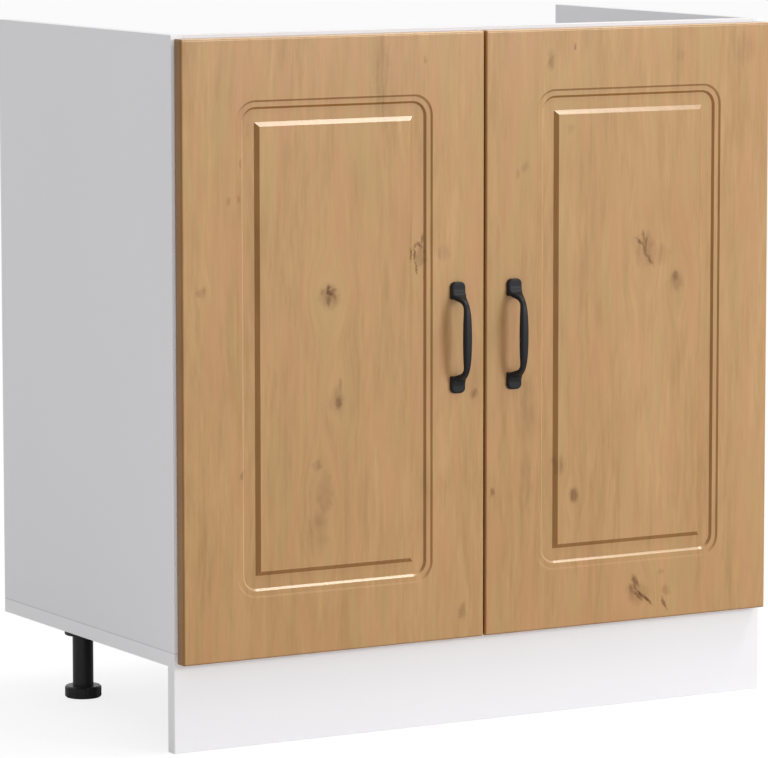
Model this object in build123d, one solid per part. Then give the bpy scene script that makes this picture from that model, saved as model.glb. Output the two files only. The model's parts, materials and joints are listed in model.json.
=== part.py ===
from build123d import *
import math
import os

# Sink base cabinet: a melamine carcass with an open top and back, two routed doors on
# concealed cup hinges, a plinth board and four adjustable legs.
# Millimetres. Origin on the floor under the middle of the bounding box, front towards -Y.

# Overall size
cabinet_width = 800.0
cabinet_height = 815.0
carcass_depth = 442.0
board = 16.0                 # thickness of every carcass board
edge_softening = 0.4         # chamfer on the banded board edges
plinth_height = 99.0         # floor to the underside of the bottom panel
front_rail_height = 90.0
rear_rail_height = 100.0

# Doors
door_thickness = 16.0
door_air_gap = 2.0           # between a door's back and the carcass front
door_side_reveal = 3.0
door_end_reveal = 4.0        # above and below a door
door_meeting_gap = 2.0
door_edge_radius = 3.0
door_corner_radius = 2.0

# Routed pattern, as offsets inwards from the door's edges
stile_width = 69.7           # door side to the first step
door_rail_width = 70.8       # door end to the first step
first_step_width = 2.2
first_step_depth = 1.5
bead_width = 5.4
second_step_width = 2.6
groove_depth = 4.0
groove_width = 14.7
bevel_width = 5.0
outer_step_radius = 25.0
inner_step_radius = 18.0

# Bow handle
handle_length = 129.5
handle_projection = 28.0
handle_inset = 37.3          # handle axis to the door's meeting edge
handle_plate_length = 20.0
handle_plate_width = 18.7
handle_plate_thickness = 5.0
handle_plate_outer_radius = 6.0
handle_plate_inner_radius = 1.6
handle_plate_softening = 2.2
handle_root_thickness = 6.2  # where the strap leaves its plate
handle_waist_width = 6.8
handle_waist_thickness = 5.4
handle_grip_width = 10.2
handle_grip_thickness = 7.8
handle_roundness = 0.38      # corner radius of a cross-section, as a share of its thickness
handle_hole_spacing = 96.0
handle_screw_radius = 2.0
handle_screw_bite = 6.0

# Legs
leg_side_inset = 68.0        # leg axis to the cabinet's side
leg_end_inset = 74.0         # leg axis to the carcass front or back
foot_radius = 22.0
foot_height = 14.0
foot_chamfer = 1.6
foot_flutes = 12
foot_flute_radius = 1.6
spindle_radius = 5.0
spindle_length = 42.0
spindle_end_room = 2.0       # above the spindle inside the tube
tube_radius = 12.5
socket_radius = 22.0
socket_height = 23.0
socket_softening = 2.0
socket_flange_radius = 33.0
socket_flange_thickness = 3.0
socket_roof = 4.0            # plastic above the tube inside a socket
leg_screw_circle_radius = 27.5
leg_screw_radius = 2.0
leg_screw_length = 15.0

# Plinth clips
clip_height = 20.0
clip_below_socket = 7.0
clip_wall = 2.6
clip_plate_width = 44.0
clip_mouth = 17.0
clip_arm_width = 10.0
clip_screw_spacing = 32.0
clip_screw_length = 14.0

# Board joints: dowels, cams and their bolts
dowel_radius = 4.0
dowel_length = 30.0
dowel_depth_in_face = 10.0
cam_radius = 7.5
cam_depth = 12.5
cam_setback = 34.0           # cam axis to the joint plane
cam_bolt_radius = 3.5
cam_bolt_thread_radius = 2.5
cam_bolt_thread = 11.0
joint_pitch = 32.0           # cam to dowel
joint_end_inset = 50.0       # first fitting to the end of a side panel

# Concealed hinges
hinge_end_inset = 125.0      # hinge axis height to the door's end
cup_radius = 17.5
cup_edge_inset = 22.5        # cup axis to the door's hanging edge
cup_depth = 12.5
cup_wall = 0.8
cup_flange = 1.0
cup_flange_overhang = 1.5
cup_screw_spacing = 48.0
cup_screw_offset = 6.0
cup_screw_radius = 1.75
cup_screw_length = 10.0
cup_ear_radius = 6.0
cup_slot_gap = 0.6           # between the arm's cheeks and the shoulders inside the cup
cup_pin_hold = 2.0           # length of a cup pin inside a shoulder
pivot_radius = 1.0
eye_radius = 2.1
outer_pivot_from_cup = 12.1  # outer link's cup pin to the cup axis, towards the edge
outer_pivot_depth = 2.0      # the same pin, below the door's back
inner_pivot_from_cup = 9.9
inner_pivot_depth = 7.0
outer_pivot_reach = 23.3     # outer link's arm pin, from the side panel's inner face
outer_pivot_setback = 7.1    # the same pin, behind the carcass front
inner_pivot_reach = 18.2
inner_pivot_lead = 8.8       # inner link's arm pin, ahead of the carcass front
open_eye_bore = 2.35         # loose eye of the inner link, round its cup pin
open_eye_wall = 0.8
open_eye_shift_x = -1.0
open_eye_shift_y = -0.68
link_half_width = 1.4
link_bend_x = 3.8            # bend of the outer link, from its cup pin
link_bend_y = -2.5
link_web_start = 0.3         # share of the run from the bend to the arm pin that has no web
link_sheet = 1.2
outer_link_half_height = 6.2
inner_link_half_height = 4.4
arm_half_height = 8.0
arm_sheet = 1.4
arm_reach = 11.5             # the arm's web, from the side panel's inner face
arm_rear = 66.0              # rear end of arm and plate, behind the carcass front
arm_front = 20.0
nose_radius = 2.8
knee_radius = 3.2
plate_sheet = 2.0
plate_margin = 0.5           # plate beyond the arm's cheeks
plate_wing_half_height = 24.0
plate_wing_setback = 37.0    # wing screws, behind the carcass front
plate_wing_width = 16.0
plate_screw_spacing = 32.0
plate_screw_radius = 2.0
plate_screw_length = 13.0
spine_height = 5.6
arm_screw_radius = 2.5
arm_screw_setbacks = (33.0, 52.0)

# Bumper pads
pad_radius = 4.0
pad_inset = 12.0
pad_edge_gap = 1.5           # below the bottom panel's upper edge

# Clearances
press_gap = 0.03             # radial, between pieces that are pressed or screwed together
running_gap = 0.05           # radial, where one piece turns or slides on another
seat_gap = 0.3               # between plain pieces that lie on each other

# Derived places
carcass_front = (door_air_gap + door_thickness + handle_projection - carcass_depth) / 2
carcass_back = carcass_front + carcass_depth
door_back = carcass_front - door_air_gap
door_front = door_back - door_thickness
half_width = cabinet_width / 2
inner_half = half_width - board
floor_of_carcass = plinth_height
top_of_bottom = plinth_height + board
door_width = (cabinet_width - 2 * door_side_reveal - door_meeting_gap) / 2
door_bottom = plinth_height + door_end_reveal
door_top = cabinet_height - door_end_reveal
door_height = door_top - door_bottom
door_middle_x = -(door_meeting_gap + door_width) / 2
door_middle_z = (door_bottom + door_top) / 2
hinge_heights = {"lower": door_bottom + hinge_end_inset, "upper": door_top - hinge_end_inset}
leg_x = half_width - leg_side_inset
leg_front_y = carcass_front + leg_end_inset
leg_back_y = carcass_back - leg_end_inset
clip_top = floor_of_carcass - socket_height - clip_below_socket
clip_bottom = clip_top - clip_height


def save(node, *solids):
    """Write one node, a single solid or a group of separate ones."""
    shape = solids[0] if len(solids) == 1 else Compound(children=list(solids))
    export_step(shape, f"parts/{node}.step")


def block(x_low, x_high, y_low, y_high, z_low, z_high):
    middle = Pos((x_low + x_high) / 2, (y_low + y_high) / 2, (z_low + z_high) / 2)
    return middle * Box(x_high - x_low, y_high - y_low, z_high - z_low)


def rod(start, direction, radius, length):
    """Cylinder that starts at a point and runs along a direction."""
    return Plane(origin=start, z_dir=direction) * Cylinder(
        radius, length, align=(Align.CENTER, Align.CENTER, Align.MIN))


def cone(start, direction, start_radius, end_radius, length):
    return Plane(origin=start, z_dir=direction) * Cone(
        start_radius, end_radius, length, align=(Align.CENTER, Align.CENTER, Align.MIN))


def right_hand(shape):
    """The mirror image, for the cabinet's right side."""
    return mirror(shape, about=Plane.YZ)


def both_sides(shapes):
    return list(shapes) + [right_hand(shape) for shape in shapes]


def countersunk_screw(head_top, direction, radius, length):
    """Wood screw with a flat head; the head's top lies at the given point."""
    head_depth = radius
    head = cone(head_top, direction, 2 * radius, radius, head_depth)
    return head + rod(head_top, direction, radius, length)


# Board joints -----------------------------------------------------------------------

def along(point, direction, distance):
    return Vector(point) + Vector(direction) * distance


class BoardJoint:
    """A cam and a dowel that hold the end of one board to the face of another."""

    def __init__(self, cam_point, dowel_point, into_board, towards_inside):
        # Both points lie on the joint plane, at the middle of the end's thickness.
        self.cam_point = Vector(cam_point)
        self.dowel_point = Vector(dowel_point)
        self.into = Vector(into_board)
        self.inside = Vector(towards_inside)
        self.face = along(along(self.cam_point, self.into, cam_setback), self.inside, board / 2)

    def bolt(self, gap=0.0):
        shank = rod(self.cam_point, self.into, cam_bolt_radius + gap, cam_setback + gap)
        return shank + rod(self.cam_point, self.into * -1, cam_bolt_thread_radius + gap,
                           cam_bolt_thread + gap)

    def cam(self):
        disc = rod(self.face, self.inside * -1, cam_radius, cam_depth)
        slot_length, slot_width, slot_depth = cam_radius, 1.6, 1.8
        cross = Plane(origin=self.face, x_dir=self.into, z_dir=self.inside) * (
            Box(slot_length, slot_width, 2 * slot_depth) + Box(slot_width, slot_length, 2 * slot_depth))
        return disc - cross - self.bolt(press_gap)

    def cam_bore(self):
        return rod(self.face, self.inside * -1, cam_radius + press_gap, cam_depth + press_gap)

    def dowel(self, gap=0.0):
        start = along(self.dowel_point, self.into, -dowel_depth_in_face - gap)
        return rod(start, self.into, dowel_radius + gap, dowel_length + 2 * gap)

    def cut_end_board(self, panel):
        return panel - self.bolt(press_gap) - self.cam_bore() - self.dowel(press_gap)

    def cut_face_board(self, panel):
        return panel - self.bolt(press_gap) - self.dowel(press_gap)


def side_foot_joints():
    """The two joints that hold the left side panel to the bottom panel."""
    x = -half_width + board / 2
    joints = []
    for end_y, inwards in ((carcass_front, 1), (carcass_back, -1)):
        cam_y = end_y + inwards * joint_end_inset
        joints.append(BoardJoint((x, cam_y, top_of_bottom),
                                 (x, cam_y + inwards * joint_pitch, top_of_bottom),
                                 (0, 0, 1), (1, 0, 0)))
    return joints


def rail_joint(middle_y, middle_z, towards_inside):
    """The joint that holds the left end of a cross rail to the left side panel."""
    return BoardJoint((-inner_half, middle_y, middle_z - joint_pitch / 2),
                      (-inner_half, middle_y, middle_z + joint_pitch / 2),
                      (1, 0, 0), towards_inside)


foot_joints = side_foot_joints()
front_rail_joint = rail_joint(carcass_front + board / 2,
                              cabinet_height - front_rail_height / 2, (0, 1, 0))
rear_rail_joint = rail_joint(carcass_back - board / 2,
                             top_of_bottom + rear_rail_height / 2, (0, -1, 0))
all_joints = foot_joints + [front_rail_joint, rear_rail_joint]


# Hinges -----------------------------------------------------------------------------
# A hinge is drawn for the left door in the plane of its linkage, seen from above, and
# then raised to its height. Its pins are vertical.

cup_x = -half_width + door_side_reveal + cup_edge_inset
outer_cup_pin = (cup_x - outer_pivot_from_cup, door_back - outer_pivot_depth)
inner_cup_pin = (cup_x - inner_pivot_from_cup, door_back - inner_pivot_depth)
outer_arm_pin = (-inner_half + outer_pivot_reach, carcass_front + outer_pivot_setback)
inner_arm_pin = (-inner_half + inner_pivot_reach, carcass_front - inner_pivot_lead)
open_eye = (inner_cup_pin[0] + open_eye_shift_x, inner_cup_pin[1] + open_eye_shift_y)
web_x = -inner_half + arm_reach
spine_top = -inner_half + plate_sheet + spine_height
# The outer link bends round the strip of door between its edge and the cup.
link_bend = (outer_cup_pin[0] + link_bend_x, outer_cup_pin[1] + link_bend_y)


def strap(circles):
    """Flat outline round a chain of circles, given as (x, y, radius)."""
    outline = Sketch()
    for (x1, y1, r1), (x2, y2, r2) in zip(circles, circles[1:]):
        rings = Edge.make_circle(r1, Plane((x1, y1, 0))), Edge.make_circle(r2, Plane((x2, y2, 0)))
        outline += make_hull(rings)
    return outline


def slab(outline, low, high):
    return extrude(Pos(0, 0, low) * outline, high - low)


def pair_of_slabs(outline, inner, outer):
    """The same outline above and below the hinge's middle."""
    return slab(outline, inner, outer) + slab(outline, -outer, -inner)


def pin_bore(point, radius, half_height):
    return rod((point[0], point[1], -half_height), (0, 0, 1), radius, 2 * half_height)


def hinge_plate():
    half_height = arm_half_height + plate_margin
    base = block(-inner_half, -inner_half + plate_sheet, carcass_front + arm_front,
                 carcass_front + arm_rear, -half_height, half_height)
    wing_y = carcass_front + plate_wing_setback
    wing = Plane.YZ.offset(-inner_half) * Pos(wing_y, 0) * RectangleRounded(
        plate_wing_width, 2 * plate_wing_half_height, plate_wing_width / 2 - 1)
    base += extrude(wing, plate_sheet)
    spine_half_height = arm_half_height - arm_sheet - seat_gap
    base += block(-inner_half + plate_sheet, spine_top, carcass_front + arm_front,
                  carcass_front + arm_rear - arm_sheet, -spine_half_height, spine_half_height)
    for screw in plate_screws(press_gap):
        base -= screw
    for screw in arm_screws(press_gap):
        base -= screw
    return base


def plate_screws(gap=0.0):
    head_x = -inner_half + plate_sheet
    return [countersunk_screw((head_x, carcass_front + plate_wing_setback, z), (-1, 0, 0),
                              plate_screw_radius + gap, plate_screw_length + gap)
            for z in (-plate_screw_spacing / 2, plate_screw_spacing / 2)]


def arm_outline():
    """Side of the hinge arm, from its rear end to the nose that dips into the cup."""
    cheek_low = -inner_half + plate_sheet + seat_gap
    half_depth = (web_x - cheek_low) / 2
    rear_axis = (web_x + cheek_low) / 2
    rear = make_face(Polyline(
        (cheek_low, carcass_front + arm_front), (web_x, carcass_front + arm_front),
        (web_x, carcass_front + arm_rear), (cheek_low, carcass_front + arm_rear), close=True))
    nose = strap([(rear_axis, carcass_front + arm_front + half_depth, half_depth),
                  (*outer_arm_pin, knee_radius), (*inner_arm_pin, nose_radius)])
    return rear + nose


def hinge_arm():
    outline = arm_outline()
    channel_half = arm_half_height - arm_sheet
    arm = slab(outline, -arm_half_height, arm_half_height)
    arm -= Pos(-arm_sheet, 0, 0) * slab(outline, -channel_half, channel_half)
    # Only the cheeks run on to the pins, so that the links can swing between them.
    cheeks_start = outer_arm_pin[1] + knee_radius
    arm -= block(-inner_half, 0, inner_arm_pin[1] - knee_radius, cheeks_start,
                 -channel_half, channel_half)
    for pin in (outer_arm_pin, inner_arm_pin):
        arm -= pin_bore(pin, pivot_radius + press_gap, arm_half_height)
    for screw in arm_screws(press_gap):
        arm -= screw
    return arm


def arm_screws(gap=0.0):
    """The screws that clamp the arm to the plate; their heads lie on the arm's web."""
    head_height, head_radius = 1.8, 3.6
    screws = []
    for setback in arm_screw_setbacks:
        seat = (web_x + head_height, carcass_front + setback, 0)
        shank_length = head_height + web_x - (-inner_half + plate_sheet) + gap
        screw = rod(seat, (-1, 0, 0), arm_screw_radius + gap, shank_length)
        if gap == 0:
            screw += rod(seat, (-1, 0, 0), head_radius, head_height)
        screws.append(screw)
    return screws


def outer_link():
    outline = strap([(*outer_cup_pin, link_half_width), (*link_bend, link_half_width),
                     (*outer_arm_pin, link_half_width)])
    for pin in (outer_cup_pin, outer_arm_pin):
        outline += Pos(*pin) * Circle(eye_radius)
    link = pair_of_slabs(outline, outer_link_half_height - link_sheet, outer_link_half_height)
    # The web joins the two sides along their back, clear of the inner link.
    run = Vector(*outer_arm_pin) - Vector(*link_bend)
    web_start = Vector(*link_bend) + run * link_web_start
    web_end = Vector(*outer_arm_pin) - run.normalized() * (eye_radius + link_sheet)
    back = run.normalized().rotate(Axis.Z, 90) * (link_half_width - link_sheet / 2)
    corner_radius = link_sheet / 2
    web_line = [web_start + back, web_end + back]
    web = strap([(point.X, point.Y, corner_radius) for point in web_line])
    link += slab(web, -outer_link_half_height, outer_link_half_height)
    for pin in (outer_cup_pin, outer_arm_pin):
        link -= pin_bore(pin, pivot_radius + running_gap, outer_link_half_height)
    return link


def inner_link():
    eye = open_eye_bore + open_eye_wall
    outline = strap([(*inner_arm_pin, link_half_width), (*open_eye, link_half_width)])
    outline += Pos(*inner_arm_pin) * Circle(eye_radius) + Pos(*open_eye) * Circle(eye)
    link = slab(outline, -inner_link_half_height, inner_link_half_height)
    link -= pin_bore(inner_arm_pin, pivot_radius + running_gap, inner_link_half_height)
    return link - pin_bore(open_eye, open_eye_bore, inner_link_half_height)


def cup_screws(gap=0.0):
    x = cup_x + cup_screw_offset
    return [countersunk_screw((x, door_back + cup_flange, z), (0, -1, 0),
                              cup_screw_radius + gap, cup_screw_length + gap)
            for z in (-cup_screw_spacing / 2, cup_screw_spacing / 2)]


def hinge_cup():
    """Steel cup with its flange; two shoulders inside hold the pins."""
    mouth = (cup_x, door_back + cup_flange, 0)
    cavity_radius = cup_radius - cup_wall
    floor_depth = cup_flange + cup_depth - cup_wall
    cup = rod((cup_x, door_back, 0), (0, -1, 0), cup_radius, cup_depth)
    ear_x = cup_x + cup_screw_offset
    ears = strap([(ear_x, z, cup_ear_radius) for z in (-cup_screw_spacing / 2, cup_screw_spacing / 2)])
    flange = ears + Pos(cup_x, 0) * Circle(cup_radius + cup_flange_overhang)
    on_door = Plane(origin=(0, door_back, 0), x_dir=(1, 0, 0), z_dir=(0, 1, 0))
    cup += extrude(on_door * mirror(flange, about=Plane.XZ), cup_flange)
    shoulder_half = arm_half_height + cup_slot_gap
    shoulder_end = cup_x - cup_radius / 4
    slot = block(cup_x - cup_radius, shoulder_end, door_back - cup_depth, mouth[1],
                 -shoulder_half, shoulder_half)
    open_side = block(shoulder_end, cup_x + cup_radius, door_back - cup_depth, mouth[1],
                      -cup_radius, cup_radius)
    cavity = rod(mouth, (0, -1, 0), cavity_radius, floor_depth)
    cup -= cavity & (slot + open_side)
    for pin in (outer_cup_pin, inner_cup_pin):
        cup -= pin_bore(pin, pivot_radius + press_gap, shoulder_half + cup_pin_hold)
    for screw in cup_screws(press_gap):
        cup -= screw
    return cup


def arm_pins():
    return [pin_bore(pin, pivot_radius, arm_half_height) for pin in (outer_arm_pin, inner_arm_pin)]


def cup_pins():
    """One long pin for the inner link, and two short ones that it passes between."""
    pin_end = arm_half_height + cup_slot_gap + cup_pin_hold
    clear_of_inner_link = inner_link_half_height + seat_gap
    long_pin = pin_bore(inner_cup_pin, pivot_radius, pin_end)
    short_pin = rod((*outer_cup_pin, clear_of_inner_link), (0, 0, 1), pivot_radius,
                    pin_end - clear_of_inner_link)
    return [long_pin, short_pin, mirror(short_pin, about=Plane.XY)]


# Doors ------------------------------------------------------------------------------

def door_plane(depth):
    """Plane parallel to the left door's face, a depth behind it; its X runs to the right."""
    return Plane(origin=(door_middle_x, door_front + depth, door_middle_z),
                 x_dir=(1, 0, 0), z_dir=(0, 1, 0))


def inset_outline(offset, radius):
    width = door_width - 2 * (stile_width + offset)
    height = door_height - 2 * (door_rail_width + offset)
    return RectangleRounded(width, height, radius) if radius else Rectangle(width, height)


def routed_pocket():
    """What the router takes away round the raised field."""
    bead_end = first_step_width + bead_width
    floor_start = bead_end + second_step_width
    floor_end = floor_start + groove_width
    above = 1.0
    first_slope = first_step_width / first_step_depth
    field_slope = bevel_width / groove_depth
    first_step = loft([door_plane(-above) * inset_outline(-above * first_slope, outer_step_radius),
                       door_plane(first_step_depth) * inset_outline(
                           first_step_width, outer_step_radius - first_step_width)], ruled=True)
    second_step = loft([door_plane(first_step_depth) * inset_outline(bead_end, inner_step_radius),
                        door_plane(groove_depth) * inset_outline(
                            floor_start, inner_step_radius - second_step_width)], ruled=True)
    field = loft([door_plane(-above) * inset_outline(floor_end + bevel_width + above * field_slope, 0),
                  door_plane(groove_depth) * inset_outline(floor_end, 0)], ruled=True)
    return first_step + second_step - field


def left_door():
    panel = block(door_middle_x - door_width / 2, door_middle_x + door_width / 2,
                  door_front, door_back, door_bottom, door_top)
    panel = fillet(panel.edges().filter_by(Axis.Y), door_corner_radius)
    panel = fillet(panel.faces().sort_by(Axis.Y)[0].edges(), door_edge_radius)
    panel -= routed_pocket()
    for height in hinge_heights.values():
        panel -= rod((cup_x, door_back, height), (0, -1, 0), cup_radius + press_gap,
                     cup_depth + press_gap)
        for screw in cup_screws(press_gap):
            panel -= Pos(0, 0, height) * screw
    for screw in handle_screws(press_gap):
        panel -= screw
    return panel


# Handles ----------------------------------------------------------------------------

handle_x = -door_meeting_gap / 2 - handle_inset
handle_z = door_middle_z


def handle_screws(gap=0.0):
    head_height, head_radius = 2.2, 4.0
    screws = []
    for z in (handle_z - handle_hole_spacing / 2, handle_z + handle_hole_spacing / 2):
        head_top = (handle_x, door_back + head_height, z)
        length = head_height + door_thickness + handle_screw_bite + gap
        screw = rod(head_top, (0, -1, 0), handle_screw_radius + gap, length)
        if gap == 0:
            screw += rod(head_top, (0, -1, 0), head_radius, head_height)
        screws.append(screw)
    return screws


def between(first, second, share):
    return first + (second - first) * share


def bow_sections():
    """Cross-sections of the bow from its upper plate, out, along the grip and back to the door."""
    plate_edge = handle_length / 2 - handle_plate_length
    grip_axis = handle_projection - handle_grip_thickness / 2
    # Rise as a share of the grip's, height as a share of the plate edge's, and a taper that is
    # -1 at the plate, 0 at the waist and 1 in the middle of the grip.
    upper_half = [(0.075, 1.27, -0.93), (0.11, 1.17, -0.95), (0.2, 1.085, -0.92), (0.355, 1.035, -0.66),
                  (0.55, 0.995, -0.33), (0.75, 0.935, -0.08), (0.9, 0.835, 0.03), (0.965, 0.69, 0.33),
                  (0.992, 0.4, 0.81)]
    lower_half = [(rise, -height, taper) for rise, height, taper in reversed(upper_half)]
    stations = upper_half + [(1, 0, 1)] + lower_half
    path = [(rise * grip_axis, height * plate_edge) for rise, height, _ in stations]
    sections = []
    for number, (rise, height) in enumerate(path):
        rise_before, height_before = path[max(number - 1, 0)]
        rise_after, height_after = path[min(number + 1, len(path) - 1)]
        onwards = Vector(0, rise_before - rise_after, height_after - height_before)
        taper = stations[number][2]
        if taper < 0:
            width = between(handle_waist_width, handle_plate_width, -taper)
            thickness = between(handle_waist_thickness, handle_root_thickness, -taper)
        else:
            width = between(handle_waist_width, handle_grip_width, taper)
            thickness = between(handle_waist_thickness, handle_grip_thickness, taper)
        outline = RectangleRounded(width, thickness, handle_roundness * thickness)
        sections.append(Plane(origin=(0, -rise, height), x_dir=(1, 0, 0), z_dir=onwards) * outline)
    return sections


def handle_plate():
    """Upper end plate: round outside corners, nearly square inside ones, a softened front."""
    outline = Rectangle(handle_plate_width, handle_plate_length)
    outline = fillet(outline.vertices().group_by(Axis.Y)[0], handle_plate_inner_radius)
    outline = fillet(outline.vertices().group_by(Axis.Y)[-1], handle_plate_outer_radius)
    on_door = Plane(origin=(0, 0, (handle_length - handle_plate_length) / 2), x_dir=(-1, 0, 0),
                    z_dir=(0, 1, 0))
    plate = extrude(on_door * outline, -handle_plate_thickness)
    return fillet(plate.faces().sort_by(Axis.Y)[0].edges(), handle_plate_softening)


def handle():
    """Cast bow handle: two end plates whose inner edges run out as straps into a swollen grip."""
    plate = handle_plate()
    casting = loft(bow_sections()) + plate + mirror(plate, about=Plane.XY)
    casting -= block(-handle_plate_width, handle_plate_width, 0, handle_plate_width,
                     -handle_length, handle_length)
    casting = Pos(handle_x, door_front, handle_z) * casting
    for screw in handle_screws(press_gap):
        casting -= screw
    return casting


def bumper_pads():
    x = -door_meeting_gap / 2 - pad_inset
    heights = (top_of_bottom - pad_radius - pad_edge_gap, door_top - pad_inset)
    return [rod((x, door_back, z), (0, 1, 0), pad_radius, door_air_gap) for z in heights]


# Legs and plinth --------------------------------------------------------------------

tube_top = floor_of_carcass - socket_roof
spindle_room = spindle_length + spindle_end_room


def leg_screws(x, y, gap=0.0):
    head_z = floor_of_carcass - socket_flange_thickness
    screws = []
    for angle in (45, 135, 225, 315):
        head = (x + leg_screw_circle_radius * math.cos(math.radians(angle)),
                y + leg_screw_circle_radius * math.sin(math.radians(angle)), head_z)
        screws.append(countersunk_screw(head, (0, 0, 1), leg_screw_radius + gap,
                                        leg_screw_length + gap))
    return screws


def leg_socket(x, y):
    profile_low = floor_of_carcass - socket_height
    body = rod((x, y, profile_low), (0, 0, 1), socket_radius, socket_height)
    body = fillet(body.edges().group_by(Axis.Z)[0], socket_softening)
    flange = rod((x, y, floor_of_carcass - socket_flange_thickness), (0, 0, 1),
                 socket_flange_radius, socket_flange_thickness)
    body = body + flange - rod((x, y, profile_low), (0, 0, 1), tube_radius + press_gap,
                               tube_top - profile_low)
    for screw in leg_screws(x, y, press_gap):
        body -= screw
    return body


def leg_tube(x, y):
    tube = rod((x, y, foot_height), (0, 0, 1), tube_radius, tube_top - foot_height)
    return tube - rod((x, y, foot_height), (0, 0, 1), spindle_radius + running_gap, spindle_room)


def foot(x, y):
    """Screw-in foot: a fluted disc with its threaded spindle."""
    disc = Cylinder(foot_radius, foot_height, align=(Align.CENTER, Align.CENTER, Align.MIN))
    disc = chamfer(disc.edges().filter_by(GeomType.CIRCLE), foot_chamfer)
    for number in range(foot_flutes):
        angle = 360 / foot_flutes * (number + 0.5)
        disc -= Rot(0, 0, angle) * Pos(foot_radius + foot_flute_radius / 2, 0, 0) * Cylinder(
            foot_flute_radius, 3 * foot_height)
    spindle = rod((0, 0, foot_height), (0, 0, 1), spindle_radius, spindle_length)
    return Pos(x, y, 0) * (disc + spindle)


def clip_screws(gap=0.0):
    y = carcass_front + board + clip_wall
    middle_z = (clip_bottom + clip_top) / 2
    return [countersunk_screw((-leg_x + side * clip_screw_spacing / 2, y, middle_z),
                              (0, -1, 0), leg_screw_radius + gap, clip_screw_length + gap)
            for side in (-1, 1)]


def plinth_clip():
    """Plate on the plinth's back with an arm whose jaw grips the front leg."""
    plinth_back = carcass_front + board
    ring_outer = tube_radius + press_gap + clip_wall
    plate = block(-leg_x - clip_plate_width / 2, -leg_x + clip_plate_width / 2,
                  plinth_back, plinth_back + clip_wall, clip_bottom, clip_top)
    arm = block(-leg_x - clip_arm_width / 2, -leg_x + clip_arm_width / 2, plinth_back,
                leg_front_y, clip_bottom, clip_top)
    jaw_base = (-leg_x, leg_front_y, clip_bottom)
    clip = plate + arm + rod(jaw_base, (0, 0, 1), ring_outer, clip_height)
    clip -= rod(jaw_base, (0, 0, 1), tube_radius + press_gap, clip_height)
    clip -= block(-leg_x - clip_mouth / 2, -leg_x + clip_mouth / 2, leg_front_y,
                  leg_front_y + 2 * ring_outer, clip_bottom, clip_top)
    for screw in clip_screws(press_gap):
        clip -= screw
    return clip


# Boards -----------------------------------------------------------------------------

def banded(panel):
    return chamfer(panel.edges(), edge_softening)


def left_side_panel():
    panel = banded(block(-half_width, -inner_half, carcass_front, carcass_back,
                         top_of_bottom, cabinet_height))
    for joint in foot_joints:
        panel = joint.cut_end_board(panel)
    for joint in (front_rail_joint, rear_rail_joint):
        panel = joint.cut_face_board(panel)
    for height in hinge_heights.values():
        for screw in plate_screws(press_gap):
            panel -= Pos(0, 0, height) * screw
    return panel


def leg_places():
    for side, x in (("left", -leg_x), ("right", leg_x)):
        for end, y in (("front", leg_front_y), ("back", leg_back_y)):
            yield f"{end}_{side}", x, y


def bottom_panel():
    panel = banded(block(-half_width, half_width, carcass_front, carcass_back,
                         floor_of_carcass, top_of_bottom))
    for joint in foot_joints:
        panel = joint.cut_face_board(panel)
        panel -= right_hand(joint.bolt(press_gap)) + right_hand(joint.dowel(press_gap))
    for _, x, y in leg_places():
        for screw in leg_screws(x, y, press_gap):
            panel -= screw
    return panel


def cross_rail(y_low, z_low, height, joint):
    rail = banded(block(-inner_half, inner_half, y_low, y_low + board, z_low, z_low + height))
    rail = joint.cut_end_board(rail)
    return right_hand(joint.cut_end_board(right_hand(rail)))


def plinth():
    board_solid = banded(block(-half_width, half_width, carcass_front, carcass_front + board,
                               0, plinth_height))
    for screw in both_sides(clip_screws(press_gap)):
        board_solid -= screw
    return board_solid


def save_pair(name, left_solid):
    save(f"{name}_left", left_solid)
    save(f"{name}_right", right_hand(left_solid))


def main():
    os.makedirs("parts", exist_ok=True)
    save_pair("side_panel", left_side_panel())
    save("bottom_panel", bottom_panel())
    save("front_rail", cross_rail(carcass_front, cabinet_height - front_rail_height,
                                  front_rail_height, front_rail_joint))
    save("rear_rail", cross_rail(carcass_back - board, top_of_bottom, rear_rail_height,
                                 rear_rail_joint))
    save("plinth", plinth())
    save("cam_housings", *both_sides([joint.cam() for joint in all_joints]))
    save("cam_bolts", *both_sides([joint.bolt() for joint in all_joints]))
    save("dowels", *both_sides([joint.dowel() for joint in all_joints]))

    leg_screw_group = []
    for place, x, y in leg_places():
        save(f"leg_socket_{place}", leg_socket(x, y))
        save(f"leg_tube_{place}", leg_tube(x, y))
        save(f"foot_{place}", foot(x, y))
        leg_screw_group += leg_screws(x, y)
    save("leg_screws", *leg_screw_group)
    save_pair("plinth_clip", plinth_clip())
    save("plinth_clip_screws", *both_sides(clip_screws()))

    pieces = {"hinge_plate": hinge_plate(), "hinge_arm": hinge_arm(), "outer_link": outer_link(),
              "inner_link": inner_link(), "hinge_cup": hinge_cup()}
    for name, solid in pieces.items():
        for level, height in hinge_heights.items():
            raised = Pos(0, 0, height) * solid
            save(f"{name}_left_{level}", raised)
            save(f"{name}_right_{level}", right_hand(raised))

    def at_both_levels(solids):
        return [Pos(0, 0, height) * solid for height in hinge_heights.values() for solid in solids]

    save("hinge_plate_screws", *both_sides(at_both_levels(plate_screws())))
    save("hinge_arm_screws", *both_sides(at_both_levels(arm_screws())))
    save("hinge_arm_pins", *both_sides(at_both_levels(arm_pins())))

    save_pair("door", left_door())
    save_pair("handle", handle())
    on_doors = {"handle_screws": handle_screws(), "cup_pins": at_both_levels(cup_pins()),
                "cup_screws": at_both_levels(cup_screws()), "bumper_pads": bumper_pads()}
    for name, solids in on_doors.items():
        save(f"{name}_left", *solids)
        save(f"{name}_right", *[right_hand(solid) for solid in solids])


main()
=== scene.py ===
import bmesh
import bpy
import json
import math
from mathutils import Matrix, Vector

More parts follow.
